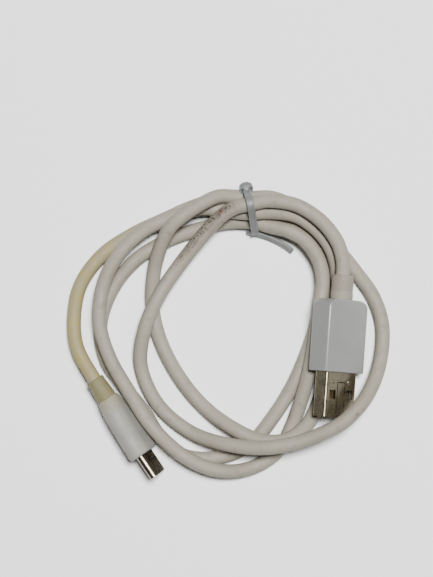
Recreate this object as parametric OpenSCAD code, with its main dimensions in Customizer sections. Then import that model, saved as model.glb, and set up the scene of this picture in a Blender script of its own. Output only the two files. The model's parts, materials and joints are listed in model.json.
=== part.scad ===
// Charging cable with a USB-A plug and a USB-C plug, coiled and held by a cable tie.
// Frame: Z up from the surface it lies on, origin under the middle of its bounding box.

/* [Cord] */
// Outer diameter of the jacket
cord_d = 4; // [3.6:0.1:4]
// Thickness of the jacket's wall
jacket_wall = 0.6; // [0.5:0.05:0.7]
// Diameter of each insulated wire
wire_d = 0.9; // [0.7:0.05:0.95]
// How deep the jacket sits in each strain relief
jacket_seat = 4.5; // [3:0.5:5]

/* [USB-A plug] */
// Width of the cover
a_body_w = 15.4; // [15:0.1:16]
// Thickness of the cover
a_body_t = 6.8; // [6.6:0.1:7.2]
// Length of the cover
a_body_len = 20; // [18:0.5:24]
// Diameter of the strain relief
a_relief_d = 6.2; // [5.8:0.1:6.4]
// Length of the strain relief outside the cover
a_relief_len = 6.7; // [6:0.1:9]
// Width of the metal shell, fixed by the connector standard
a_shell_w = 12; // [12:0.1:12.1]
// Height of the metal shell, fixed by the connector standard
a_shell_t = 4.5; // [4.5:0.05:4.55]
// Length of shell outside the cover
a_shell_out = 12.2; // [11.75:0.05:12.5]
// Side of the square latch windows in the shell
a_window = 2.4; // [1.9:0.1:2.5]

/* [USB-C plug] */
// Width of the overmould at its front
c_body_w = 11.8; // [11:0.1:12.3]
// Thickness of the overmould
c_body_t = 6.4; // [6:0.1:6.5]
// Length of the overmould
c_body_len = 18.2; // [17:0.1:20]
// Diameter of the collar where it meets the overmould
c_collar_d = 5.8; // [5.6:0.1:6]
// Length of the collar
c_collar_len = 6.3; // [5.5:0.1:8]
// Width of the metal shell, fixed by the connector standard
c_shell_w = 8.34; // [8.3:0.02:8.38]
// Height of the metal shell, fixed by the connector standard
c_shell_t = 2.56; // [2.52:0.02:2.6]
// Length of shell outside the overmould
c_shell_out = 6.8; // [6.6:0.05:7]

/* [Cable tie] */
// Width of the strap
strap_w = 2.1; // [2:0.1:2.6]
// Thickness of the strap
strap_t = 0.9; // [0.7:0.1:0.9]
// Width of the head, along the cord
head_w = 3.8; // [3.6:0.1:4.6]

/* [Hidden] */
$fn = 48;
hull_fn = 32;
fit = 0.1;             // clearance round a piece that sits in another
overlap = 0.02;        // how far a cut runs past a face

// Where each plug's cord end lies, which way it points and how far it is rolled
a_pos = [31.5, 15.2, 8.6];
a_heading = -94.2;
a_roll = -43;
c_pos = [-37, -13.5, 5.75];
c_heading = -56;
c_roll = -70;

// The cord's centreline, hand laid. Each turn ends at the tie, the last in the USB-C plug.
turn_1 = [
    [31.4, 19.6, 8.9], [29.5, 25, 9.7], [25, 30.5, 9.8], [18.5, 34.5, 9.8], [11, 35.6, 10.2],
    [5.9, 34.6, 10.5], [1.5, 33.6, 10.4], [-2.5, 31, 9.3], [-6.5, 27, 7.2],
    [-13, 19, 5.2], [-19, 10, 6.4], [-23.3, 0, 5.7], [-24.3, -10, 2.3], [-19.5, -20.5, 2],
    [-10.5, -28, 3], [0, -31.3, 8.4], [10.5, -32, 10.6], [20, -30.2, 10.8], [28.5, -26.6, 12],
    [33.3, -23.2, 11.3], [38.5, -17.2, 7.4], [42, -9, 3.6], [43, 1, 2.1], [40.5, 9.5, 2],
    [35.6, 16.6, 2], [31, 22.5, 2], [26, 29.2, 2], [20.5, 33.7, 2.2], [16, 35.8, 4.2],
    [11.3, 37, 6.2], [5.4, 36.7, 6.9]
];
turn_2 = [
    [1, 37.1, 7.6], [-3, 36.9, 9.1], [-7.5, 34.7, 10.2], [-12, 31.8, 10.4], [-16, 28.3, 9.6],
    [-18.8, 23.2, 6.6], [-20.8, 16, 3], [-21.2, 7, 2], [-18.8, -3, 2], [-13.5, -13, 2],
    [-6.5, -21.3, 2.2], [1.5, -27, 5.4], [9, -30.2, 6.4], [16, -30, 6.3], [21.6, -26, 5.6],
    [24.8, -20.3, 2.8], [27.3, -12, 2], [28.8, -3, 2], [29.6, 5.5, 2], [30.4, 12, 2.1],
    [30.2, 16.5, 3.6], [29, 21.3, 5.5], [26.8, 25.3, 5.8], [23, 29.2, 5.8], [18, 32, 6.2],
    [11, 32.8, 6.7], [6.3, 32.5, 7]
];
turn_3 = [
    [1.5, 32.9, 6.1], [-3, 33.8, 5.4], [-8, 33.9, 5.9], [-14, 32, 6.2], [-23, 28, 6.2],
    [-30.5, 21, 6.2], [-34.8, 12, 6], [-35.6, 2, 6.2], [-32.8, -7.5, 6.2],
    [-27.5, -16.8, 6.2], [-20.8, -26.8, 6.2], [-12.5, -34.4, 6.3], [-3.5, -38.4, 5.2],
    [5.5, -38.2, 2.4], [13.5, -33.6, 2], [17.8, -26, 2], [20.8, -17, 4.4], [22.8, -9, 6.1],
    [24.2, -1, 6.1], [25.2, 7, 6.1], [26.1, 13.5, 6.1], [25, 19.5, 6.1], [21.3, 24.9, 6],
    [16.5, 27.7, 5.6], [11.8, 29, 4.3], [6.8, 30.3, 3.3]
];
turn_4 = [
    [0, 30.4, 2.6], [-8, 28.6, 2], [-17, 25.4, 2], [-26, 19.8, 2], [-32.5, 11.5, 2],
    [-35.7, 1.5, 2], [-34, -8, 2], [-29.3, -15, 2], [-23.4, -22.5, 2], [-18.8, -29.5, 2],
    [-12, -34.7, 2], [-2.5, -35, 2], [6, -31.4, 2], [12.5, -23.8, 2], [18, -15, 2],
    [22.3, -5, 2], [24.7, 3, 2], [25.9, 10, 2], [26.5, 16.8, 2], [25.2, 23, 2], [20.6, 28.1, 2],
    [15.8, 31.2, 2], [10.8, 33.8, 2.5], [5.9, 34.6, 3.3]
];
tail = [
    [1, 35.9, 2.7], [-4.5, 36.4, 2], [-11, 34.4, 2], [-18, 31.2, 2], [-26.5, 27.2, 2],
    [-35, 21.5, 2], [-41, 13.5, 2], [-43, 4.5, 2], [-42, -4.6, 3.8]
];

// A plug's own frame: X from the cord's end to the tip, Y across, Z out of the broad face
function roll(p, a) = [p.x, p.y * cos(a) - p.z * sin(a), p.y * sin(a) + p.z * cos(a)];
function turn(p, a) = [p.x * cos(a) - p.y * sin(a), p.x * sin(a) + p.y * cos(a), p.z];
function in_a(p) = a_pos + turn(roll(p, a_roll), a_heading);
function in_c(p) = c_pos + turn(roll(p, c_roll), c_heading);
module at_a() { translate(a_pos) rotate([0, 0, a_heading]) rotate([a_roll, 0, 0]) children(); }
module at_c() { translate(c_pos) rotate([0, 0, c_heading]) rotate([c_roll, 0, 0]) children(); }

route = concat(
    [in_a([jacket_seat, 0, 0]), in_a([0, 0, 0])],
    turn_1, turn_2, turn_3, turn_4, tail,
    [in_c([0, 0, 0]), in_c([jacket_seat, 0, 0])]
);

// Sweeping: each ring stands across the path, its first corner as near straight up as it can be
function unit(v) = v / norm(v);
function tangent(path, i) = unit(path[min(i + 1, len(path) - 1)] - path[max(i - 1, 0)]);
function across(t) = unit(cross(t, [0, 0, 1]));
function upward(t) = cross(across(t), t);
function ring(p, t, r, n) = [
    for (k = [0:n - 1]) p + r * (cos(360 * k / n) * upward(t) + sin(360 * k / n) * across(t))
];
function rings(path, r, n) = [for (i = [0:len(path) - 1]) each ring(path[i], tangent(path, i), r, n)];
function side_faces(count, n, first, inward) = [
    for (i = [0:count - 2], k = [0:n - 1])
        let (a = first + i * n + k, b = first + i * n + (k + 1) % n)
        each inward
            ? [[a, b, a + n], [b, b + n, a + n]]
            : [[a, a + n, b], [b, a + n, b + n]]
];
// Turns a path into one that runs beside it, at an angle round it
function beside(path, angle, gap) = [
    for (i = [0:len(path) - 1])
        let (t = tangent(path, i)) path[i] + gap * (cos(angle) * upward(t) + sin(angle) * across(t))
];

module solid_tube(path, r, n) {
    last = (len(path) - 1) * n;
    polyhedron(
        rings(path, r, n),
        concat(
            side_faces(len(path), n, 0, false),
            [[for (k = [0:n - 1]) k]],
            [[for (k = [n - 1:-1:0]) last + k]]
        ),
        convexity = 20
    );
}

module hollow_tube(path, r_out, r_in, n) {
    count = len(path);
    last = (count - 1) * n;
    inner = count * n;
    polyhedron(
        concat(rings(path, r_out, n), rings(path, r_in, n)),
        concat(
            side_faces(count, n, 0, false),
            side_faces(count, n, inner, true),
            [for (k = [0:n - 1]) each [
                [k, (k + 1) % n, inner + k],
                [(k + 1) % n, inner + (k + 1) % n, inner + k]
            ]],
            [for (k = [0:n - 1]) each [
                [last + k, inner + last + k, last + (k + 1) % n],
                [last + (k + 1) % n, inner + last + k, inner + last + (k + 1) % n]
            ]]
        ),
        convexity = 20
    );
}

/* Cord */
jacket_sides = 8;
wire_sides = 4;
wire_gap = 0.76;       // each wire's centre from the cord's centre
a_bundle_x = 11;       // how far the four wires run together into each plug
c_bundle_x = 9.6;
a_fan_x = 14.5;
c_fan_x = 11.5;
a_solder_x = 20;       // where the wires reach the USB-A contacts' tails
c_solder_x = 14;       // and the USB-C board's pads
a_wire_z = 0.6;        // height of the soldered ends over each plug's middle
c_wire_z = 0.78;

module cord_jacket() {
    color("gainsboro") hollow_tube(route, cord_d / 2, cord_d / 2 - jacket_wall, jacket_sides);
}

// One wire: out of the USB-A contacts, along the cord and on to a pad in the USB-C plug
module wire(angle, a_y, c_y) {
    path = concat(
        [in_a([a_solder_x, a_y, a_wire_z]), in_a([a_fan_x, a_y * 0.7, a_wire_z / 2])],
        beside(concat([in_a([a_bundle_x, 0, 0])], route, [in_c([c_bundle_x, 0, 0])]), angle, wire_gap),
        [in_c([c_fan_x, c_y * 0.7, c_wire_z]), in_c([c_solder_x, c_y, c_wire_z])]
    );
    solid_tube(path, wire_d / 2, wire_sides);
}

module wire_power() { color("firebrick") wire(70, -3.5, -2); }
module wire_ground() { color("dimgray") wire(250, 3.5, 2); }
module wire_data_minus() { color("white") wire(160, -1.1, -0.67); }
module wire_data_plus() { color("seagreen") wire(340, 1.1, 0.67); }

/* USB-A plug */
cover_wall = 0.8;
a_cover_x = a_relief_len;
a_front_x = a_cover_x + a_body_len;
a_tip_x = a_front_x + a_shell_out;
a_cover_corner = 2.5;
a_edge_r = 0.5;
a_shell_in = 6;        // length of shell held in the cover
a_shell_wall = 0.3;
a_shell_r = 0.6;
a_window_y = 3.3;      // how far each window's middle is off the plug's middle
a_wire_bore = 3;
a_neck_d = 5;
a_flange = [1.2, 9, 5];
a_crimp = [1.2, 4.4];  // length and outer diameter of the crimp
a_wire_room = [9.6, 3.6]; // the wires' way through the inner mould
a_tongue = [11, 1.8];  // width and thickness of the tongue
a_tongue_gap = 0.02;   // between the tongue and the shell's floor
a_contact = [1, 0.2];  // width and thickness of each contact
contact_ys = [-3.5, -1.1, 1.1, 3.5];

module bar(x0, x1, w, t) { translate([x0, -w / 2, -t / 2]) cube([x1 - x0, w, t]); }
module rod(x0, x1, d) { translate([x0, 0, 0]) rotate([0, 90, 0]) cylinder(h = x1 - x0, d = d); }
// A rounded rectangle, w along Y and t along Z, run along X
module rounded_bar(x0, x1, w, t, r) {
    translate([x0, 0, 0]) rotate([90, 0, 90]) linear_extrude(x1 - x0) {
        square([w - 2 * r, t], center = true);
        square([w, t - 2 * r], center = true);
        for (y = [-1, 1], z = [-1, 1]) translate([y * (w / 2 - r), z * (t / 2 - r)]) circle(r);
    }
}

module a_plan() {
    half = a_body_w / 2 - a_cover_corner;
    translate([a_cover_corner, -a_body_w / 2]) square([a_body_len - a_cover_corner, a_body_w]);
    translate([0, -half]) square([a_cover_corner, 2 * half]);
    for (s = [-1, 1]) translate([a_cover_corner, s * half]) circle(a_cover_corner);
}

module usb_a_cover() {
    color("aliceblue") at_a() difference() {
        intersection() {
            rounded_bar(a_cover_x, a_front_x, a_body_w, a_body_t, a_edge_r);
            translate([a_cover_x, 0, -a_body_t]) linear_extrude(2 * a_body_t) a_plan();
        }
        bar(a_cover_x + 2 * cover_wall, a_front_x - cover_wall,
            a_body_w - 4 * cover_wall, a_body_t - 2 * cover_wall);
        rounded_bar(a_front_x - cover_wall - overlap, a_front_x + overlap,
            a_shell_w + fit, a_shell_t + fit, a_shell_r);
        rod(a_cover_x - overlap, a_cover_x + 2 * cover_wall + overlap, a_neck_d + fit);
    }
}

module usb_a_strain_relief() {
    flange_x = a_cover_x + 2 * cover_wall;
    color("whitesmoke") at_a() difference() {
        union() {
            rod(0, a_cover_x, a_relief_d);
            rod(a_cover_x - overlap, flange_x + overlap, a_neck_d);
            bar(flange_x, flange_x + a_flange.x, a_flange.y, a_flange.z);
        }
        rod(-overlap, jacket_seat, cord_d + 2 * fit);
        rod(0, flange_x + 2 * a_flange.x, a_wire_bore);
    }
}

module usb_a_crimp() {
    x = a_cover_x + 2 * cover_wall + a_flange.x + fit;
    color("silver") at_a() difference() {
        rod(x, x + a_crimp.x, a_crimp.y);
        rod(x - 1, x + a_crimp.x + 1, a_wire_bore + 2 * fit);
    }
}

module usb_a_inner_mould() {
    x0 = a_cover_x + 2 * cover_wall + a_flange.x + 1.6;
    x1 = a_front_x - a_shell_in - fit;
    color("ivory") at_a() difference() {
        bar(x0, x1, a_body_w - 4 * cover_wall - fit, a_body_t - 2 * cover_wall - fit);
        bar(x0 - 1, x1 + 1, a_wire_room.x, a_wire_room.y);
    }
}

module usb_a_shell() {
    x0 = a_front_x - a_shell_in;
    window_x = a_tip_x - 6.1;
    slot_x = a_front_x + 2.6;
    slot = 0.25;
    tab_w = 3.2;
    color("lightslategray") at_a() difference() {
        rounded_bar(x0, a_tip_x, a_shell_w, a_shell_t, a_shell_r);
        rounded_bar(x0 - 1, a_tip_x + 1, a_shell_w - 2 * a_shell_wall, a_shell_t - 2 * a_shell_wall,
            a_shell_r - a_shell_wall);
        for (y = [-a_window_y, a_window_y])
            translate([window_x - a_window / 2, y - a_window / 2, -a_shell_t])
                cube([a_window, a_window, 2 * a_shell_t]);
        // The cut that frees the retention tab between the windows
        translate([slot_x, -tab_w / 2, 0]) cube([slot, tab_w, a_shell_t]);
        for (y = [-tab_w / 2, tab_w / 2 - slot])
            translate([slot_x, y, 0]) cube([a_tip_x - 1.4 - slot_x, slot, a_shell_t]);
    }
}

module usb_a_tongue() {
    color("white") at_a()
        translate([a_front_x - a_shell_in, -a_tongue.x / 2, -a_shell_t / 2 + a_shell_wall + a_tongue_gap])
            cube([a_shell_in + a_shell_out - 0.6, a_tongue.x, a_tongue.y]);
}

module usb_a_contacts() {
    x = a_front_x - a_shell_in - 1.8;
    z = -a_shell_t / 2 + a_shell_wall + a_tongue_gap + a_tongue.y;
    color("gold") at_a() for (y = contact_ys)
        translate([x, y - a_contact.x / 2, z]) cube([a_tip_x - 2 - x, a_contact.x, a_contact.y]);
}

/* USB-C plug */
c_mould_x = c_collar_len;
c_front_x = c_mould_x + c_body_len;
c_tip_x = c_front_x + c_shell_out;
c_collar_end_d = 5.2;
c_shell_in = 6;
c_shell_wall = 0.22;
c_wire_bore = 3;
c_board_x = c_mould_x + 6.9;
c_crimp_room = [5.4, 3.96];             // the cavity's section round the crimp
c_board_room = [8.4, 2.6];              // and round the circuit board
c_back_x = c_front_x - c_shell_in;      // back end of the shell
c_slot = [5.6, 6.9, 0.9];               // the mouth that a socket's tongue enters
c_pitch = 0.5;
c_lining_w = c_shell_w - 2 * c_shell_wall - 0.04;
c_lining_t = c_shell_t - 2 * c_shell_wall - 0.04;
c_contact = [4.6, 0.25, 0.1];
c_plate = [4.8, 0.14];                  // width and thickness of the mid plate
c_board = [8, 0.6];                     // and of the circuit board
c_resistor = [1, 0.5, 0.35];
c_crimp_d = 3.9;
latch_y = 3.15;
latch = [5.2, 0.25, 0.6];
latch_nub = [0.7, 0.2];                 // length of each nub, and how far it stands in
latch_x = c_tip_x - 6.4;

// A bar with round sides, w along Y and t along Z, run along X
module stadium_bar(x0, x1, w, t) {
    translate([x0, 0, 0]) rotate([90, 0, 90]) linear_extrude(x1 - x0) {
        square([w - t, t], center = true);
        for (s = [-1, 1]) translate([s * (w - t) / 2, 0]) circle(d = t);
    }
}

module usb_c_overmould() {
    slice = 0.05;
    color("whitesmoke") at_c() difference() {
        hull() {
            stadium_bar(c_mould_x, c_mould_x + slice, c_collar_d + 1, c_collar_d + 0.4, $fn = hull_fn);
            stadium_bar(c_mould_x + 5.5, c_mould_x + 5.5 + slice, 9.4, c_body_t, $fn = hull_fn);
            stadium_bar(c_front_x - 1, c_front_x - 1 + slice, c_body_w, c_body_t, $fn = hull_fn);
            stadium_bar(c_front_x - slice, c_front_x, c_body_w - 0.6, c_body_t - 0.6, $fn = hull_fn);
        }
        rod(c_mould_x - overlap, c_mould_x + 3, c_wire_bore + 2 * fit);
        bar(c_mould_x + 2.2, c_back_x + overlap, c_crimp_room.x, c_crimp_room.y);
        bar(c_board_x - 0.2, c_back_x + overlap, c_board_room.x, c_board_room.y);
        stadium_bar(c_back_x, c_front_x + 1, c_shell_w + fit, c_shell_t + fit);
    }
}

module usb_c_strain_relief() {
    color("khaki") at_c() difference() {
        rotate([0, 90, 0]) cylinder(h = c_collar_len, d1 = c_collar_end_d, d2 = c_collar_d);
        rod(-overlap, jacket_seat, cord_d + 2 * fit);
        rod(0, c_collar_len + 1, c_wire_bore);
    }
}

module usb_c_crimp() {
    color("silver") at_c() difference() {
        rod(c_mould_x + 2.3, c_mould_x + 3.1, c_crimp_d);
        rod(c_mould_x + 1, c_mould_x + 4, c_wire_bore + 2 * fit);
    }
}

module usb_c_shell() {
    color("dimgray") at_c() difference() {
        stadium_bar(c_back_x, c_tip_x, c_shell_w, c_shell_t);
        stadium_bar(c_back_x - 1, c_tip_x + 1, c_shell_w - 2 * c_shell_wall, c_shell_t - 2 * c_shell_wall);
    }
}

module usb_c_insulator() {
    color("black") at_c() difference() {
        stadium_bar(c_back_x, c_tip_x - 0.1, c_lining_w, c_lining_t);
        bar(c_tip_x - c_slot.x, c_tip_x + 1, c_slot.y, c_slot.z);
        bar(c_back_x - 1, c_tip_x - c_slot.x - 0.6, 5, 0.2);
        // Side pockets in which the latch arms move
        for (s = [-1, 1])
            translate([latch_x - 0.3, s * latch_y - 0.55, -c_slot.z / 2]) cube([8, 1.1, c_slot.z]);
    }
}

module c_contacts(z) {
    at_c() for (i = [-5.5:1:5.5])
        translate([c_tip_x - c_slot.x + 0.1, i * c_pitch - c_contact.y / 2, z - c_contact.z / 2])
            cube(c_contact);
}
module usb_c_contacts_upper() { color("goldenrod") c_contacts(c_slot.z / 2 - 0.07); }
module usb_c_contacts_lower() { color("goldenrod") c_contacts(0.07 - c_slot.z / 2); }

module usb_c_mid_plate() {
    color("silver") at_c() bar(c_back_x - 0.8, c_tip_x - c_slot.x - 0.7, c_plate.x, c_plate.y);
}

// A sprung side arm with a nub that clicks into the socket
module latch_arm(side) {
    at_c() {
        translate([latch_x, side * latch_y - latch.y / 2, -latch.z / 2]) cube(latch);
        translate([latch_x + latch.x - latch_nub.x, side * (latch_y - latch_nub.y) - latch.y / 2, -latch.z / 2])
            cube([latch_nub.x, latch.y, latch.z]);
    }
}
module usb_c_latch_left() { color("silver") latch_arm(-1); }
module usb_c_latch_right() { color("silver") latch_arm(1); }

module usb_c_circuit_board() {
    color("darkgreen") at_c() bar(c_board_x, c_back_x - 0.9, c_board.x, c_board.y);
}
module usb_c_resistor() {
    color("black") at_c()
        translate([c_back_x - 3, -c_resistor.y / 2, c_board.y / 2 + 0.01]) cube(c_resistor);
}

/* Cable tie */
tie_pos = [6, 34, 0];
tie_turn = 12;
tie_gap = 0.4;         // between the strap and the cords that it holds
// Middles of the cords in the tie's own plane, Y outward and Z up
tie_cords = [[2.75, 6.9], [0.6, 10.5], [-1.55, 6.9], [-4.2, 3.3], [1, 3.3]];
// The strap's spare end is an arc that leans over towards the cords
tie_tail_centre = [1, 0.5, 0.5];
tie_tail_r = 26.7;
tie_tail_start = 52;
tie_tail_angle = 29.5;
tie_tail_lean = 30;
head_y = tie_cords[0].x + cord_d / 2 + tie_gap;
head = [head_w, 1.8, 4.6];
head_z = 5;
head_corner = 1;
head_back = head_y + 0.3;
head_pocket = 1.65;    // depth of the pocket that the pawl swings in
pawl = [strap_w - 0.2, 0.3, 2.1];
pawl_gap = 0.2;        // between the pawl and the strap

module at_tie() { translate(tie_pos) rotate([0, 0, tie_turn]) children(); }
module cord_outline(grow) {
    hull() for (c = tie_cords) translate(c) circle(cord_d / 2 + tie_gap + grow, $fn = hull_fn);
}

// The loop round the cords, and the strap's spare end that lies along the innermost cord
module tie_strap() {
    color("lavender") {
        at_tie() translate([-strap_w / 2, 0, 0]) rotate([90, 0, 90]) linear_extrude(strap_w)
            difference() {
                cord_outline(strap_t);
                cord_outline(0);
            }
        translate(tie_tail_centre) rotate([0, 0, tie_tail_start]) rotate_extrude(angle = tie_tail_angle)
            translate([tie_tail_r, 0]) rotate(-tie_tail_lean) square([strap_t, strap_w]);
    }
}

module head_plan() {
    flat = head.y - head_corner;
    translate([-head.x / 2, head_back]) square([head.x, flat]);
    translate([head_corner - head.x / 2, head_back]) square([head.x - 2 * head_corner, head.y]);
    for (s = [-1, 1]) translate([s * (head.x / 2 - head_corner), head_back + flat]) circle(head_corner);
}

module tie_head() {
    slot = strap_w + 2 * fit;
    color("lavender") at_tie() difference() {
        translate([0, 0, head_z]) linear_extrude(head.z) head_plan();
        translate([-slot / 2, head_y - fit, head_z - 1]) cube([slot, strap_t + 2 * fit, head.z + 2]);
        translate([-slot / 2, head_y, head_z + 0.8]) cube([slot, head_pocket, 3]);
    }
}

module tie_pawl() {
    color("lavender") at_tie()
        translate([-pawl.x / 2, head_y + strap_t + pawl_gap, head_z + 1.4]) cube(pawl);
}

cord_jacket();
wire_power();
wire_ground();
wire_data_plus();
wire_data_minus();
usb_a_cover();
usb_a_strain_relief();
usb_a_shell();
usb_a_tongue();
usb_a_contacts();
usb_a_inner_mould();
usb_a_crimp();
usb_c_overmould();
usb_c_strain_relief();
usb_c_shell();
usb_c_insulator();
usb_c_contacts_upper();
usb_c_contacts_lower();
usb_c_mid_plate();
usb_c_latch_left();
usb_c_latch_right();
usb_c_circuit_board();
usb_c_resistor();
usb_c_crimp();
tie_strap();
tie_head();
tie_pawl();
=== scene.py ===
import json
import math

import bpy
import numpy as np
from mathutils import Matrix, Vector


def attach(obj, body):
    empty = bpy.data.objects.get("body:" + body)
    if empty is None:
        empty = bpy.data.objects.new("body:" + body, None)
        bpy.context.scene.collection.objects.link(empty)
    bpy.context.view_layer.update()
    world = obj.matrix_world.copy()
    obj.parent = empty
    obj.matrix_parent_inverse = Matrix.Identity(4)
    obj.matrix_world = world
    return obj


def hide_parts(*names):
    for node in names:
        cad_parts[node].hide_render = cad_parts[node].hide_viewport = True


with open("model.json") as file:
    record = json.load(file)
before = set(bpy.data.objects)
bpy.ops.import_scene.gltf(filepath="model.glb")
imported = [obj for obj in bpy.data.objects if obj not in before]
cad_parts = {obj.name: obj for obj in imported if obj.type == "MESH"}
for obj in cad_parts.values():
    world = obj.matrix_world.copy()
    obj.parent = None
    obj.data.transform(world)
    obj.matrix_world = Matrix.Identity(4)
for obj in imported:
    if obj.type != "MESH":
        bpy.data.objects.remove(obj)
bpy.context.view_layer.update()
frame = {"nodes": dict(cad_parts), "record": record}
nodes = frame["nodes"]
MM = 0.001
UP = np.array([0.0, 0.0, 1.0])

# ---------------------------------------------------------------- camera and places

# The view is almost straight down, tilted a little so that the near ends of the plugs show.
VIEW_TILT = math.radians(3.0)
VIEW_DISTANCE = 450 * MM
VIEW_LENS = 101            # with a sensor 36 wide
VIEW_TARGET = Vector((-3.3, 11.8, 4)) * MM


def make_camera():
    data = bpy.data.cameras.new("camera")
    data.lens = VIEW_LENS
    data.sensor_width = 36
    data.clip_start = 0.01
    data.clip_end = 20
    camera = bpy.data.objects.new("camera", data)
    back = Vector((0, -math.sin(VIEW_TILT), math.cos(VIEW_TILT)))
    camera.location = VIEW_TARGET + VIEW_DISTANCE * back
    camera.rotation_euler = (VIEW_TILT, 0, 0)
    bpy.context.scene.collection.objects.link(camera)
    bpy.context.scene.camera = camera


make_camera()

# A plug's own frame: X from the cord's end to the tip, Y across, Z out of the broad face.
A_POS, A_HEADING, A_ROLL = Vector((31.5, 15.2, 8.6)) * MM, -94.2, -43
C_POS, C_HEADING, C_ROLL = Vector((-37, -13.5, 5.75)) * MM, -56, -70


def plug_frame(position, heading, roll):
    turn = Matrix.Rotation(math.radians(heading), 4, "Z")
    return Matrix.Translation(position) @ turn @ Matrix.Rotation(math.radians(roll), 4, "X")


A_FRAME = plug_frame(A_POS, A_HEADING, A_ROLL)
C_FRAME = plug_frame(C_POS, C_HEADING, C_ROLL)
TIE_FRAME = Matrix.Translation(Vector((6, 34, 0)) * MM) @ Matrix.Rotation(math.radians(12), 4, "Z")

# The cord's centreline in millimetres, with the same points as the CAD tube.
TURN_1 = [
    (31.4, 19.6, 8.9), (29.5, 25, 9.7), (25, 30.5, 9.8), (18.5, 34.5, 9.8), (11, 35.6, 10.2),
    (5.9, 34.6, 10.5), (1.5, 33.6, 10.4), (-2.5, 31, 9.3), (-6.5, 27, 7.2),
    (-13, 19, 5.2), (-19, 10, 6.4), (-23.3, 0, 5.7), (-24.3, -10, 2.3), (-19.5, -20.5, 2),
    (-10.5, -28, 3), (0, -31.3, 8.4), (10.5, -32, 10.6), (20, -30.2, 10.8), (28.5, -26.6, 12),
    (33.3, -23.2, 11.3), (38.5, -17.2, 7.4), (42, -9, 3.6), (43, 1, 2.1), (40.5, 9.5, 2),
    (35.6, 16.6, 2), (31, 22.5, 2), (26, 29.2, 2), (20.5, 33.7, 2.2), (16, 35.8, 4.2),
    (11.3, 37, 6.2), (5.4, 36.7, 6.9),
]
TURN_2 = [
    (1, 37.1, 7.6), (-3, 36.9, 9.1), (-7.5, 34.7, 10.2), (-12, 31.8, 10.4), (-16, 28.3, 9.6),
    (-18.8, 23.2, 6.6), (-20.8, 16, 3), (-21.2, 7, 2), (-18.8, -3, 2), (-13.5, -13, 2),
    (-6.5, -21.3, 2.2), (1.5, -27, 5.4), (9, -30.2, 6.4), (16, -30, 6.3), (21.6, -26, 5.6),
    (24.8, -20.3, 2.8), (27.3, -12, 2), (28.8, -3, 2), (29.6, 5.5, 2), (30.4, 12, 2.1),
    (30.2, 16.5, 3.6), (29, 21.3, 5.5), (26.8, 25.3, 5.8), (23, 29.2, 5.8), (18, 32, 6.2),
    (11, 32.8, 6.7), (6.3, 32.5, 7),
]
TURN_3 = [
    (1.5, 32.9, 6.1), (-3, 33.8, 5.4), (-8, 33.9, 5.9), (-14, 32, 6.2), (-23, 28, 6.2),
    (-30.5, 21, 6.2), (-34.8, 12, 6), (-35.6, 2, 6.2), (-32.8, -7.5, 6.2),
    (-27.5, -16.8, 6.2), (-20.8, -26.8, 6.2), (-12.5, -34.4, 6.3), (-3.5, -38.4, 5.2),
    (5.5, -38.2, 2.4), (13.5, -33.6, 2), (17.8, -26, 2), (20.8, -17, 4.4), (22.8, -9, 6.1),
    (24.2, -1, 6.1), (25.2, 7, 6.1), (26.1, 13.5, 6.1), (25, 19.5, 6.1), (21.3, 24.9, 6),
    (16.5, 27.7, 5.6), (11.8, 29, 4.3), (6.8, 30.3, 3.3),
]
TURN_4 = [
    (0, 30.4, 2.6), (-8, 28.6, 2), (-17, 25.4, 2), (-26, 19.8, 2), (-32.5, 11.5, 2),
    (-35.7, 1.5, 2), (-34, -8, 2), (-29.3, -15, 2), (-23.4, -22.5, 2), (-18.8, -29.5, 2),
    (-12, -34.7, 2), (-2.5, -35, 2), (6, -31.4, 2), (12.5, -23.8, 2), (18, -15, 2),
    (22.3, -5, 2), (24.7, 3, 2), (25.9, 10, 2), (26.5, 16.8, 2), (25.2, 23, 2), (20.6, 28.1, 2),
    (15.8, 31.2, 2), (10.8, 33.8, 2.5), (5.9, 34.6, 3.3),
]
TAIL = [
    (1, 35.9, 2.7), (-4.5, 36.4, 2), (-11, 34.4, 2), (-18, 31.2, 2), (-26.5, 27.2, 2),
    (-35, 21.5, 2), (-41, 13.5, 2), (-43, 4.5, 2), (-42, -4.6, 3.8),
]
CORD_D = 4 * MM
SEAT = 4.5 * MM           # how deep the cord sits in each strain relief


def in_frame(matrix, x):
    return tuple(matrix @ Vector((x, 0, 0)))


ROUTE = np.array(
    [in_frame(A_FRAME, SEAT), in_frame(A_FRAME, 0)]
    + [tuple(MM * c for c in p) for p in TURN_1 + TURN_2 + TURN_3 + TURN_4 + TAIL]
    + [in_frame(C_FRAME, 0), in_frame(C_FRAME, SEAT)]
)
# Marks on the cord, as places in the route. Its first two points lie in the USB-A plug.
DIRT_START, DIRT_END = 2 + 6, 2 + 9
RED_SPOT = DIRT_START + 0.67
NICKS = (2 + 8.85, 2 + 19.1)
YELLOW_START = len(ROUTE) - 9

# ---------------------------------------------------------------- mesh helpers


def add_mesh(name, points, faces, matrix=None, smooth=40):
    """A mesh piece on the cable's body, smooth but for edges sharper than `smooth` degrees."""
    mesh = bpy.data.meshes.new(name)
    mesh.from_pydata([tuple(map(float, p)) for p in points], [], faces)
    mesh.update()
    mesh.shade_smooth()
    mesh.set_sharp_from_angle(angle=math.radians(smooth))
    piece = bpy.data.objects.new(name, mesh)
    bpy.context.scene.collection.objects.link(piece)
    if matrix is not None:
        piece.matrix_world = matrix
    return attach(piece, "cable")


def stitch(rings, count, closed=False):
    """Faces that join rings of `count` points, in a closed band or with a cap at each end."""
    faces = []
    last = rings if closed else rings - 1
    for i in range(last):
        a, b = i * count, (i + 1) % rings * count
        for k in range(count):
            n = (k + 1) % count
            faces.append((a + k, a + n, b + n, b + k))
    if not closed:
        faces.append(tuple(reversed(range(count))))
        faces.append(tuple(range((rings - 1) * count, rings * count)))
    return faces


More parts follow.
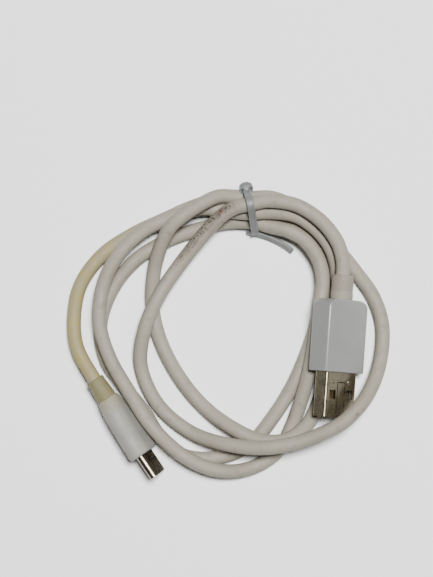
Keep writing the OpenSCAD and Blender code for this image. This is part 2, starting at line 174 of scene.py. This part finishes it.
def smooth_line(points, steps):
    """A Catmull-Rom curve through the points, with `steps` stretches between each pair."""
    padded = np.vstack([2 * points[0] - points[1], points, 2 * points[-1] - points[-2]])
    line = []
    for a, b, c, d in zip(padded, padded[1:], padded[2:], padded[3:]):
        for k in range(steps):
            t = k / steps
            curve = (2 * a - 5 * b + 4 * c - d) * t * t + (3 * b - a - 3 * c + d) * t**3
            line.append(0.5 * (2 * b + (c - a) * t + curve))
    line.append(points[-1])
    return np.array(line)


def unit(rows):
    return rows / np.linalg.norm(rows, axis=-1, keepdims=True)


CORNER_STEPS = 8
EDGE_STEPS = 5
RING_POINTS = 4 * (CORNER_STEPS + 1)
LATHE_SIDES = 48


def rounded_ring(width, thickness, radius):
    """A rounded rectangle in the Y-Z plane, counted round from +Y."""
    radius = min(radius, width / 2 - 1e-6, thickness / 2 - 1e-6)
    points = []
    for corner, (sy, sz) in enumerate([(1, 1), (-1, 1), (-1, -1), (1, -1)]):
        for k in range(CORNER_STEPS + 1):
            angle = math.radians(90 * (corner + k / CORNER_STEPS))
            y = sy * (width / 2 - radius) + radius * math.cos(angle)
            points.append((y, sz * (thickness / 2 - radius) + radius * math.sin(angle)))
    return points


def loft(name, sections, **options):
    """A skin through rounded rectangles, each (x, width, thickness, corner radius) in mm."""
    points = []
    for x, width, thickness, radius in sections:
        points += [(x * MM, y * MM, z * MM) for y, z in rounded_ring(width, thickness, radius)]
    return add_mesh(name, points, stitch(len(sections), RING_POINTS), **options)


def lathe(name, profile, wobble, **options):
    """A turned piece round X from (x, radius) pairs in mm, out of true by wobble(x, angle)."""
    points = []
    for x, radius in profile:
        for k in range(LATHE_SIDES):
            angle = 2 * math.pi * k / LATHE_SIDES
            r = radius + wobble(x, angle)
            points.append((x * MM, r * math.cos(angle) * MM, r * math.sin(angle) * MM))
    return add_mesh(name, points, stitch(len(profile), LATHE_SIDES), **options)


def round_edge(front, radius):
    """Places along X up to a piece's front, and how far its rounded edge stands in at each."""
    for k in range(EDGE_STEPS + 1):
        angle = math.pi / 2 * k / EDGE_STEPS
        yield front - radius * (1 - math.sin(angle)), radius * (1 - math.cos(angle))


# ---------------------------------------------------------------- materials


class Surface:
    """A procedural material built up layer by layer on one Principled shader."""

    def __init__(self, name, colour, rough, metal=0.0, **sockets):
        self.material = bpy.data.materials.new(name)
        self.material.use_nodes = True
        self.tree = self.material.node_tree
        self.shader = self.tree.nodes["Principled BSDF"]
        self.shader.inputs["Base Color"].default_value = (*colour, 1)
        self.shader.inputs["Roughness"].default_value = rough
        self.shader.inputs["Metallic"].default_value = metal
        for socket, value in sockets.items():
            self.shader.inputs[socket.replace("_", " ")].default_value = value
        self.place = self.tree.nodes.new("ShaderNodeTexCoord").outputs["Object"]
        self.colour = None
        self.first = (*colour, 1)
        self.normal = None

    def node(self, kind, **values):
        made = self.tree.nodes.new(kind)
        for key, value in values.items():
            setattr(made, key, value)
        return made

    def link(self, a, b):
        self.tree.links.new(a, b)

    def stretched(self, factors):
        mapping = self.node("ShaderNodeMapping")
        mapping.inputs["Scale"].default_value = factors
        self.link(self.place, mapping.inputs["Vector"])
        return mapping.outputs["Vector"]

    def noise(self, scale, detail=3, factors=None, rough=0.55):
        made = self.node("ShaderNodeTexNoise")
        made.inputs["Scale"].default_value = scale
        made.inputs["Detail"].default_value = detail
        made.inputs["Roughness"].default_value = rough
        self.link(self.stretched(factors) if factors else self.place, made.inputs["Vector"])
        return made.outputs["Fac"]

    def ramp(self, value, low, high, to_low=0.0, to_high=1.0):
        made = self.node("ShaderNodeMapRange", interpolation_type="SMOOTHSTEP")
        made.inputs["From Min"].default_value = low
        made.inputs["From Max"].default_value = high
        made.inputs["To Min"].default_value = to_low
        made.inputs["To Max"].default_value = to_high
        self.link(value, made.inputs["Value"])
        return made.outputs["Result"]

    def times(self, a, b):
        made = self.node("ShaderNodeMath", operation="MULTIPLY")
        self.link(a, made.inputs[0])
        if isinstance(b, float):
            made.inputs[1].default_value = b
        else:
            self.link(b, made.inputs[1])
        return made.outputs["Value"]

    def attribute(self, name):
        return self.node("ShaderNodeAttribute", attribute_name=name).outputs["Fac"]

    def tint(self, colour, share):
        """Mixes a colour in by a share from 0 to 1 that varies over the surface."""
        mix = self.node("ShaderNodeMix", data_type="RGBA")
        self.link(share, mix.inputs["Factor"])
        if self.colour is None:
            mix.inputs["A"].default_value = self.first
        else:
            self.link(self.colour, mix.inputs["A"])
        mix.inputs["B"].default_value = (*colour, 1)
        self.colour = mix.outputs["Result"]
        self.link(self.colour, self.shader.inputs["Base Color"])
        return self

    def roughness(self, value, low, high):
        self.link(self.ramp(value, 0.3, 0.7, low, high), self.shader.inputs["Roughness"])
        return self

    def bump(self, height, distance):
        made = self.node("ShaderNodeBump")
        made.inputs["Distance"].default_value = distance
        made.inputs["Strength"].default_value = 0.6
        self.link(height, made.inputs["Height"])
        if self.normal is not None:
            self.link(self.normal, made.inputs["Normal"])
        self.normal = made.outputs["Normal"]
        self.link(self.normal, self.shader.inputs["Normal"])
        return self


def moulded(name, colour, rough, shade=0.85, grain=1400, depth=0.00002, **sockets):
    """Moulded plastic: soft blotches, a fine grain and uneven gloss."""
    s = Surface(name, colour, rough, **sockets)
    s.tint([c * shade for c in colour], s.ramp(s.noise(160), 0.45, 0.75, 0, 0.7))
    s.roughness(s.noise(300), rough * 0.85, min(1.0, rough * 1.2))
    return s.bump(s.noise(grain, 2), depth)


def metal(name, colour, dark, rough):
    """Plated metal with fine marks drawn out along X and dull blotches."""
    grain, factors = 900, (1, 6, 6)
    s = Surface(name, colour, rough, 1.0)
    s.tint(dark, s.ramp(s.noise(220, 4), 0.42, 0.7, 0, 0.8))
    s.roughness(s.noise(grain, 3, factors), rough * 0.75, rough * 1.5)
    return s.bump(s.noise(grain * 2, 2, factors), 0.000006)


def cord_surface():
    """Soft white jacket: grey bloom, dirt by the tie, yellowed towards the USB-C plug."""
    s = Surface("cord_jacket_soft", (0.245, 0.225, 0.178), 0.7, Subsurface_Weight=0.03)
    s.shader.inputs["Subsurface Radius"].default_value = (0.0012, 0.001, 0.0008)
    s.shader.inputs["Subsurface Scale"].default_value = 1.0
    s.tint((0.2, 0.18, 0.14), s.ramp(s.noise(45, 4), 0.42, 0.75, 0, 0.75))
    s.tint((0.145, 0.132, 0.105), s.ramp(s.noise(420, 5), 0.52, 0.75, 0, 0.5))
    yellow = s.attribute("yellow")
    s.tint((0.25, 0.21, 0.1), s.times(yellow, s.ramp(s.noise(90, 3), 0.25, 0.6, 0.55, 1)))
    streak = s.ramp(s.noise(260, 4), 0.5, 0.62)
    s.tint((0.29, 0.23, 0.07), s.times(yellow, s.times(streak, 0.6)))
    dirt = s.attribute("dirt")
    s.tint((0.12, 0.095, 0.07), s.times(dirt, s.ramp(s.noise(300, 6), 0.4, 0.65, 0.1, 0.6)))
    s.tint((0.022, 0.015, 0.01), s.times(dirt, s.ramp(s.noise(1900, 6, rough=0.75), 0.48, 0.56, 0, 0.95)))
    s.tint((0.09, 0.0, 0.003), s.attribute("spot"))
    s.tint((0.04, 0.03, 0.02), s.attribute("nick"))
    s.roughness(s.noise(300, 3), 0.6, 0.8)
    s.bump(s.noise(140, 3), 0.00008)
    return s.bump(s.noise(1500, 3), 0.00002)


def relief_surface():
    """Soft moulding with crossed scuff lines that have held dirt."""
    s = moulded("usb_a_relief_worn", (0.23, 0.208, 0.165), 0.65)
    for turn in (38, -38):
        mapping = s.node("ShaderNodeMapping")
        mapping.inputs["Rotation"].default_value = (0, 0, math.radians(turn))
        s.link(s.place, mapping.inputs["Vector"])
        wave = s.node("ShaderNodeTexWave", wave_type="BANDS")
        wave.inputs["Scale"].default_value = 560
        wave.inputs["Distortion"].default_value = 2.5
        s.link(mapping.outputs["Vector"], wave.inputs["Vector"])
        line = s.ramp(wave.outputs["Fac"], 0.72, 0.98)
        worn = s.times(line, s.attribute("worn"))
        s.tint((0.14, 0.12, 0.09), s.times(worn, 0.4))
        s.bump(s.times(worn, -1.0), 0.00005)
    return s


def collar_surface():
    """The collar has gone olive yellow, most of all at the cord's end."""
    s = moulded("usb_c_collar_yellowed", (0.165, 0.147, 0.075), 0.6, shade=0.75)
    s.tint((0.15, 0.132, 0.058), s.ramp(s.noise(330, 4), 0.4, 0.62, 0.1, 0.9))
    return s.tint((0.2, 0.14, 0.045), s.ramp(s.noise(800, 4), 0.6, 0.7, 0, 0.5))


def overmould_surface():
    """Soft white grip, greyed by handling and a little yellow near the collar."""
    s = moulded("usb_c_grip_soft", (0.245, 0.235, 0.21), 0.6, Subsurface_Weight=0.03)
    s.shader.inputs["Subsurface Radius"].default_value = (0.001, 0.001, 0.001)
    s.tint((0.27, 0.235, 0.135), s.times(s.attribute("yellow"), 0.6))
    return s.tint((0.22, 0.215, 0.2), s.ramp(s.noise(700, 5), 0.6, 0.78, 0, 0.4))


def tie_surface():
    """Milky nylon that lets some light through, with painted shade: near black in the head's recesses."""
    s = moulded("tie_nylon_milky", (0.13, 0.137, 0.134), 0.48, shade=0.75, grain=700,
                Subsurface_Weight=0.15)
    s.shader.inputs["Subsurface Radius"].default_value = (0.002, 0.002, 0.002)
    s.shader.inputs["Coat Weight"].default_value = 0.05
    # painted shade: the recess mask darkens the knob's dents to near black, standing in for the shade
    # inside them
    return s.tint((0.03, 0.03, 0.03), s.attribute("recess"))


def cover_surface():
    """Hard, slightly blue-white plastic with a fine sheen and faint handling marks."""
    s = moulded("usb_a_cover_hard", (0.2, 0.2, 0.192), 0.38, shade=0.93, depth=0.00001)
    s.shader.inputs["Coat Weight"].default_value = 0.25
    s.shader.inputs["Coat Roughness"].default_value = 0.2
    scratch = s.ramp(s.noise(600, 2, (0.2, 4, 4)), 0.66, 0.74, 0, 0.35)
    return s.tint((0.15, 0.15, 0.145), scratch)


def board_surface():
    s = moulded("board_green", (0.03, 0.22, 0.1), 0.35)
    return s.tint((0.6, 0.45, 0.15), s.ramp(s.noise(1200, 1), 0.64, 0.66))


SURFACES = {
    "cord_jacket": cord_surface(),
    "wire_red": moulded("wire_red", (0.6, 0.05, 0.04), 0.4),
    "wire_black": moulded("wire_black", (0.03, 0.03, 0.03), 0.4),
    "wire_green": moulded("wire_green", (0.04, 0.32, 0.1), 0.4),
    "wire_white": moulded("wire_white", (0.8, 0.8, 0.78), 0.4),
    "usb_a_cover": cover_surface(),
    "usb_a_relief": relief_surface(),
    # painted reflection: the shell's base colour is set dark and brownish to stand in for the dark
    # surroundings it reflects
    "usb_a_steel": metal("usb_a_steel_painted_dark_reflection", (0.29, 0.255, 0.185), (0.15, 0.13, 0.09), 0.3),
    "usb_a_tongue": moulded("usb_a_tongue_black", (0.015, 0.013, 0.012), 0.5),
    "contact_gold": metal("contact_gold_plate", (0.3, 0.2, 0.08), (0.16, 0.1, 0.04), 0.4),
    "inner_plastic": moulded("inner_mould_ivory", (0.74, 0.71, 0.6), 0.5),
    "crimp_steel": metal("crimp_steel_plain", (0.65, 0.65, 0.64), (0.4, 0.4, 0.4), 0.35),
    "usb_c_overmould": overmould_surface(),
    "usb_c_collar": collar_surface(),
    # painted reflection: the shell's base colour is set dark and brownish to stand in for the dark
    # surroundings it reflects
    "usb_c_steel": metal("usb_c_steel_painted_dark_reflection", (0.25, 0.215, 0.165), (0.1, 0.085, 0.065), 0.26),
    "usb_c_lining": moulded("usb_c_lining_black", (0.03, 0.03, 0.03), 0.5),
    "spring_steel": metal("spring_steel_bright", (0.75, 0.74, 0.72), (0.5, 0.49, 0.47), 0.22),
    "board_green": board_surface(),
    "resistor_black": moulded("resistor_black", (0.02, 0.02, 0.02), 0.4),
    "tie_nylon": tie_surface(),
}


def finish_piece(piece, slot, *replaced):
    """Gives a new piece the material of its slot, and hides the CAD nodes it stands for."""
    piece.data.materials.append(SURFACES[slot].material)
    if replaced:
        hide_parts(*replaced)
    return piece


def paint(piece, name, values):
    """Stores one number for each vertex, which the materials read."""
    attribute = piece.data.attributes.new(name, "FLOAT", "POINT")
    attribute.data.foreach_set("value", np.asarray(values, np.float32))


def bell(x, centre, spread):
    return np.exp(-(((x - centre) / spread) ** 2))


def step(x, low, high):
    t = np.clip((x - low) / (high - low), 0, 1)
    return t * t * (3 - 2 * t)


# ---------------------------------------------------------------- cord

CORD_STEPS = 9
CORD_SIDES = 24


def make_cord():
    line = smooth_line(ROUTE, CORD_STEPS)
    line[:, 2] = np.maximum(line[:, 2], CORD_D / 2)
    place = np.arange(len(line)) / CORD_STEPS
    along = unit(np.gradient(line, axis=0))
    side = unit(np.cross(along, UP))
    top = np.cross(side, along)
    angles = 2 * np.pi * np.arange(CORD_SIDES) / CORD_SIDES
    # The jacket's thickness varies a little along its length.
    radius = CORD_D / 2 * (1 - 0.012 * (1 + np.sin(place * 1.7)) / 2)
    ring = np.cos(angles)[:, None] * top[:, None] + np.sin(angles)[:, None] * side[:, None]
    points = line[:, None] + radius[:, None, None] * ring
    piece = add_mesh("cord", points.reshape(-1, 3), stitch(len(line), CORD_SIDES))
    finish_piece(piece, "cord_jacket", "cord_jacket")
    dirt = step(place, DIRT_START - 0.6, DIRT_START + 0.4)
    dirt *= 1 - step(place, DIRT_END - 0.7, DIRT_END + 0.5)
    paint(piece, "dirt", (dirt[:, None] * bell(angles, 0.45, 0.75)).ravel())
    yellow = step(place, YELLOW_START, YELLOW_START + 4)
    paint(piece, "yellow", (yellow[:, None] * np.ones(CORD_SIDES)).ravel())
    spot = bell(place, RED_SPOT, 0.12)[:, None] * bell(angles, 0.52, 0.3)
    paint(piece, "spot", spot.ravel())
    nick = sum(bell(place, p, 0.08) for p in NICKS)[:, None] * bell(angles, 0.5, 0.2)
    paint(piece, "nick", 0.8 * nick.ravel())
    return piece, line


cord, cord_line = make_cord()

# ---------------------------------------------------------------- USB-A plug

A_RELIEF = 6.7            # where the cover starts, in mm from the cord's end
A_FRONT = 26.7
A_BODY = (15.4, 6.8)
A_CORNER = (2.3, 3.6)     # the back corners' round, along and across the cover
A_CORNER_STEPS = 8
A_EDGE = 0.5
A_FRONT_EDGE = 0.35
A_SHELL = (12, 4.5)
A_SHELL_OUT = 12.2
DIMPLE = (0.55, 0.22)     # each pressed dimple's radius and height
DIMPLE_Y = 3.0


def make_a_cover():
    """The back corners are round seen from the broad face, and all edges are a little round."""
    sections = []
    for k in range(A_CORNER_STEPS + 1):
        angle = math.pi / 2 * k / A_CORNER_STEPS
        dx = A_CORNER[0] * (1 - math.cos(angle))
        narrow = A_CORNER[1] * (1 - math.sin(angle))
        edge = A_EDGE - math.sqrt(max(0, A_EDGE**2 - max(0, A_EDGE - dx) ** 2))
        sections.append((A_RELIEF + dx, A_BODY[0] - 2 * narrow, A_BODY[1] - 2 * edge, A_EDGE + 0.2))
    for x, inset in round_edge(A_FRONT, A_FRONT_EDGE):
        sections.append((x, A_BODY[0] - 2 * inset, A_BODY[1] - 2 * inset, A_EDGE + 0.2))
    # A shallow moulded step and groove round the shell
    sections += [
        (A_FRONT, A_SHELL[0] + 1.4, A_SHELL[1] + 1.0, 0.9),
        (A_FRONT - 0.25, A_SHELL[0] + 1.2, A_SHELL[1] + 0.8, 0.9),
        (A_FRONT - 0.3, A_SHELL[0] + 0.2, A_SHELL[1] + 0.2, 0.7),
        (A_FRONT - 0.9, A_SHELL[0] + 0.1, A_SHELL[1] + 0.1, 0.7),
    ]
    piece = loft("usb_a_cover_shell", sections, matrix=A_FRAME, smooth=35)
    return finish_piece(piece, "usb_a_cover", "usb_a_cover")


def make_a_relief():
    """The sleeve has shallow rings moulded round its back half, then goes into the cover."""
    profile = [(0, 2.02), (0, 2.75), (0.15, 2.95), (0.4, 3.05)]
    x = 0.7
    while x < 4.4:
        profile += [(x, 3.07), (x + 0.22, 2.98), (x + 0.44, 3.07)]
        x += 0.85
    profile += [(4.8, 3.08), (5.1, 3.1), (6.2, 3.1), (6.75, 3.08), (6.9, 2.5), (9.4, 2.5)]
    piece = lathe("usb_a_relief_sleeve", profile, matrix=A_FRAME, smooth=50,
                  wobble=lambda x, a: 0.03 * math.sin(3 * a + 2 * x))
    paint(piece, "worn", [1 - step(v.co.x / MM, 4.3, 5.0) for v in piece.data.vertices])
    return finish_piece(piece, "usb_a_relief", "usb_a_strain_relief")


def make_a_dimples():
    """The two pressed dimples on the shell that grip a socket."""
    points, faces = [], []
    rings, sides = 5, 16
    centre_x = A_FRONT + A_SHELL_OUT - 9.6
    foot = A_SHELL[1] / 2 - 0.03
    for y in (-DIMPLE_Y, DIMPLE_Y):
        start = len(points)
        for i in range(rings):
            r = DIMPLE[0] * math.cos(math.pi / 2 * i / rings)
            z = foot + DIMPLE[1] * math.sin(math.pi / 2 * i / rings)
            for k in range(sides):
                angle = 2 * math.pi * k / sides
                x = centre_x + r * math.cos(angle)
                points.append((x * MM, (y + r * math.sin(angle)) * MM, z * MM))
        faces += [tuple(start + v for v in face) for face in stitch(rings, sides)]
    piece = add_mesh("usb_a_shell_dimples", points, faces, matrix=A_FRAME)
    return finish_piece(piece, "usb_a_steel")


a_pieces = [make_a_cover(), make_a_relief(), make_a_dimples()]

# ---------------------------------------------------------------- USB-C plug

C_COLLAR = 6.3            # where the grip starts, in mm from the cord's end
C_FRONT = 24.5
C_BODY = (11.75, 6.4)
C_EDGE = 0.7
C_SHELL = (8.34, 2.56)


def make_c_overmould():
    """The grip widens from the collar to its front, through (x, width, thickness) stages."""
    stages = [(C_COLLAR, 6.6, 6.0), (C_COLLAR + 2.5, 8.1, 6.3), (C_COLLAR + 6, 9.7, C_BODY[1]),
              (C_COLLAR + 11, 10.9, C_BODY[1]), (C_FRONT - 1.2, 11.7, C_BODY[1])]
    line = smooth_line(np.array(stages), 5)
    sections = [(C_COLLAR - 0.05, 5.6, 5.6, 2.8), (C_COLLAR, 6.2, 5.9, 2.95)]
    sections += [(x, w, t, t / 2) for x, w, t in line[1:]]
    for x, inset in round_edge(C_FRONT, C_EDGE):
        sections.append((x, C_BODY[0] - 2 * inset, C_BODY[1] - 2 * inset, C_BODY[1] / 2 - inset))
    # A shallow groove round the shell
    sections += [
        (C_FRONT, C_SHELL[0] + 0.9, C_SHELL[1] + 0.9, 1.7),
        (C_FRONT - 0.15, C_SHELL[0] + 0.7, C_SHELL[1] + 0.7, 1.6),
        (C_FRONT - 0.2, C_SHELL[0] + 0.15, C_SHELL[1] + 0.15, 1.3),
        (C_FRONT - 0.8, C_SHELL[0] + 0.1, C_SHELL[1] + 0.1, 1.3),
    ]
    piece = loft("usb_c_grip", sections, matrix=C_FRAME, smooth=50)
    paint(piece, "yellow", [1 - step(v.co.x / MM, 6, 12) for v in piece.data.vertices])
    return finish_piece(piece, "usb_c_overmould", "usb_c_overmould")


def make_c_collar():
    """The collar is thinnest at the cord's end and stands a little proud of the cord."""
    profile = [(0, 2.02), (0, 2.4), (0.15, 2.56), (0.5, 2.62), (2, 2.66), (3.2, 2.7),
               (4.6, 2.78), (5.6, 2.86), (6.0, 2.88), (6.2, 2.8), (6.4, 2.7)]
    piece = lathe("usb_c_collar", profile, matrix=C_FRAME, smooth=50,
                  wobble=lambda x, a: 0.03 * math.sin(2 * a + 1.5 * x))
    return finish_piece(piece, "usb_c_collar", "usb_c_strain_relief")


c_pieces = [make_c_overmould(), make_c_collar()]

# ---------------------------------------------------------------- cable tie

STRAP_W = 2.1
STRAP_T = 0.9
TIE_GAP = 0.4
# Middles of the cords in the tie's own plane, Y outward and Z up
TIE_CORDS = [(2.75, 6.9), (0.6, 10.5), (-1.55, 6.9), (-4.2, 3.3), (1, 3.3)]
HEAD_Y = TIE_CORDS[0][0] + 2 + TIE_GAP
HEAD_BACK = HEAD_Y + 0.3
HEAD = (3.8, 1.8, 4.6)
HEAD_Z = 5.0
# The spare end is an arc round this centre, leaning over towards the cords
TAIL_CENTRE = (1.0, 0.5, 0.5)
TAIL_R = 26.7
TAIL_START, TAIL_ANGLE = 52, 29.5
TAIL_LEAN = math.radians(30)


def outline(points):
    """The convex outline of points in a plane, counted round."""
    ordered = sorted(set(points))
    halves = []
    for run in (ordered, ordered[::-1]):
        half = []
        for p in run:
            while len(half) > 1:
                (ax, ay), (bx, by) = half[-2], half[-1]
                if (bx - ax) * (p[1] - ay) - (by - ay) * (p[0] - ax) > 1e-9:
                    break
                half.pop()
            half.append(p)
        halves += half[:-1]
    return halves


def even(points, count):
    """The same closed line with `count` points at equal distances."""
    closed = np.array(points + points[:1])
    run = np.concatenate([[0], np.cumsum(np.linalg.norm(np.diff(closed, axis=0), axis=1))])
    wanted = np.linspace(0, run[-1], count, endpoint=False)
    return np.stack([np.interp(wanted, run, closed[:, k]) for k in (0, 1)], axis=1)


def strap_ring(width, thickness):
    """A strap's cut across: rounded edges and a shallow channel along the middle of its outside."""
    w, t, r = width / 2, thickness, 0.22
    return [(-w, r), (-w + r * 0.3, r * 0.3), (-w + r, 0), (0, 0), (w - r, 0), (w - r * 0.3, r * 0.3),
            (w, r), (w, t - r), (w - r * 0.3, t - r * 0.3), (w - r, t), (w * 0.45, t),
            (w * 0.35, t - 0.12), (-w * 0.35, t - 0.12), (-w * 0.45, t), (-w + r, t),
            (-w + r * 0.3, t - r * 0.3), (-w, t - r)]


def make_tie_loop():
    """A closed loop that hugs the five cords, as a belt does."""
    reach = 2 + TIE_GAP
    circles = [
        (round(y + reach * math.cos(a), 6), round(z + reach * math.sin(a), 6))
        for y, z in TIE_CORDS
        for a in np.linspace(0, 2 * math.pi, 48, endpoint=False)
    ]
    line = even(outline(circles), 150)
    ahead = unit(np.roll(line, -1, axis=0) - np.roll(line, 1, axis=0))
    outward = np.stack([ahead[:, 1], -ahead[:, 0]], axis=1)
    cut = strap_ring(STRAP_W, STRAP_T)
    points = [
        (across * MM, (p[0] + o[0] * out) * MM, (p[1] + o[1] * out) * MM)
        for p, o in zip(line, outward)
        for across, out in cut
    ]
    piece = add_mesh("tie_loop", points, stitch(len(line), len(cut), closed=True),
                     matrix=TIE_FRAME, smooth=45)
    return finish_piece(piece, "tie_nylon", "tie_strap")


def make_tie_tail():
    """The spare end: toothed on its inside, and rounded at both ends."""
    cx, cy, cz = TAIL_CENTRE
    points = []
    stations = np.linspace(TAIL_START + TAIL_ANGLE, TAIL_START, 90)
    cut = strap_ring(STRAP_W, STRAP_T)
    for i, degrees in enumerate(stations):
        angle = math.radians(degrees)
        left = (degrees - TAIL_START) / TAIL_ANGLE
        round_end = math.sqrt(max(0.0, 1 - (1 - min(1, min(left, 1 - left) / 0.03)) ** 2))
        slim = 0.35 + 0.65 * round_end
        tooth = 0.1 * (i % 2) * (1 - step(left, 0.6, 0.66)) * step(left, 0.06, 0.1)
        for across, out in cut:
            up = STRAP_W / 2 + across * slim
            through = out + (tooth if out < 0.3 else 0)
            r = TAIL_R + through * math.cos(TAIL_LEAN) + up * math.sin(TAIL_LEAN)
            z = cz - through * math.sin(TAIL_LEAN) + up * math.cos(TAIL_LEAN)
            points.append([c * MM for c in (cx + r * math.cos(angle), cy + r * math.sin(angle), z)])
    piece = add_mesh("tie_tail", points, stitch(len(stations), len(cut)), smooth=45)
    return finish_piece(piece, "tie_nylon")


def make_tie_head():
    """A domed block on the strap's outside, with a flat back and two shallow recesses."""
    rows, columns = 17, 21
    count = rows * columns
    middle_z = HEAD_Z + HEAD[2] / 2
    dome, back = [], []
    for i in range(rows):
        v = -1 + 2 * i / (rows - 1)
        for k in range(columns):
            u = -1 + 2 * k / (columns - 1)
            bulge = (1 - abs(u) ** 3.5) ** 0.45 * (1 - abs(v) ** 4) ** 0.45
            dent = 0.35 * bell(abs(u), 0.62, 0.16) * bell(v, 0.55, 0.3)
            x, z = u * HEAD[0] / 2, middle_z + v * HEAD[2] / 2
            y = HEAD_BACK + HEAD[1] * bulge - dent * (bulge > 0.2)
            dome.append((x * MM, y * MM, z * MM))
            back.append((x * MM, HEAD_BACK * MM, z * MM))
    faces = []
    for i in range(rows - 1):
        for k in range(columns - 1):
            a = i * columns + k
            faces.append((a, a + columns, a + columns + 1, a + 1))
            b = a + count
            faces.append((b, b + 1, b + columns + 1, b + columns))
    edge = list(range(columns))
    edge += [i * columns + columns - 1 for i in range(1, rows)]
    edge += [(rows - 1) * columns + k for k in range(columns - 2, -1, -1)]
    edge += [i * columns for i in range(rows - 2, 0, -1)]
    for a, b in zip(edge, edge[1:] + edge[:1]):
        faces.append((a, b, b + count, a + count))
    piece = add_mesh("tie_head_dome", dome + back, faces, matrix=TIE_FRAME, smooth=55)
    return finish_piece(piece, "tie_nylon", "tie_head")


def make_tie_knob():
    """The head's round top, which the strap comes out of, with a recess on each side of it."""
    centre = (0, HEAD_Y, 8.9)
    reach = (1.95, 1.7, 0.9)
    underside = 0.35       # its depth, as a share of the top's
    rows, columns = 33, 64
    points, recess = [], []
    for i in range(rows):
        polar = math.pi * (i + 0.5) / rows
        for k in range(columns):
            angle = 2 * math.pi * k / columns
            x, y = math.sin(polar) * math.cos(angle), math.sin(polar) * math.sin(angle)
            dent, z = 0, underside * math.cos(polar)
            if polar < math.pi / 2:
                dent = bell(abs(x), 0.68, 0.2) * bell(y, -0.1, 0.35)
                z = (1 - 0.8 * dent) * math.cos(polar)
            recess.append(dent)
            points.append([(c + r * p) * MM for c, r, p in zip(centre, reach, (x, y, z))])
    faces = [face[::-1] for face in stitch(rows, columns)]
    piece = add_mesh("tie_head_knob", points, faces, matrix=TIE_FRAME, smooth=70)
    # painted shade: each dent's depth is stored as the mask that the nylon material darkens to near black
    paint(piece, "recess", recess)
    return finish_piece(piece, "tie_nylon")


make_tie_loop()
make_tie_tail()
make_tie_head()
make_tie_knob()

# ---------------------------------------------------------------- CAD nodes that show as they are

for row in frame["record"]["subparts"]:
    node = nodes[row["node"]]
    node.data.materials.clear()
    node.data.materials.append(SURFACES[row["material_slot"]].material)

# ---------------------------------------------------------------- floor and light


def make_floor():
    half = 1.5
    corners = [(-half, -half, 0), (half, -half, 0), (half, half, 0), (-half, half, 0)]
    mesh = bpy.data.meshes.new("floor")
    mesh.from_pydata(corners, [], [(0, 1, 2, 3)])
    floor = bpy.data.objects.new("floor", mesh)
    floor.location.z = -0.0001
    bpy.context.scene.collection.objects.link(floor)
    floor.data.materials.append(Surface("floor_pale", (0.93, 0.93, 0.93), 0.9).material)


def add_light(name, place, size, energy):
    """A round lamp that points at the origin."""
    data = bpy.data.lights.new(name, "AREA")
    data.shape = "DISK"
    data.size = size
    data.energy = energy
    light = bpy.data.objects.new(name, data)
    light.location = place
    light.rotation_euler = (-Vector(place)).to_track_quat("-Z", "Y").to_euler()
    bpy.context.scene.collection.objects.link(light)


def make_world():
    world = bpy.data.worlds.new("world")
    world.use_nodes = True
    world.node_tree.nodes["Background"].inputs["Color"].default_value = (1, 1, 1, 1)
    world.node_tree.nodes["Background"].inputs["Strength"].default_value = 0.03
    bpy.context.scene.world = world


make_floor()
make_world()
add_light("key", (0.1, 0.16, 1.0), 0.25, 24)
add_light("fill", (0.5, 0.1, 0.9), 0.6, 0.8)
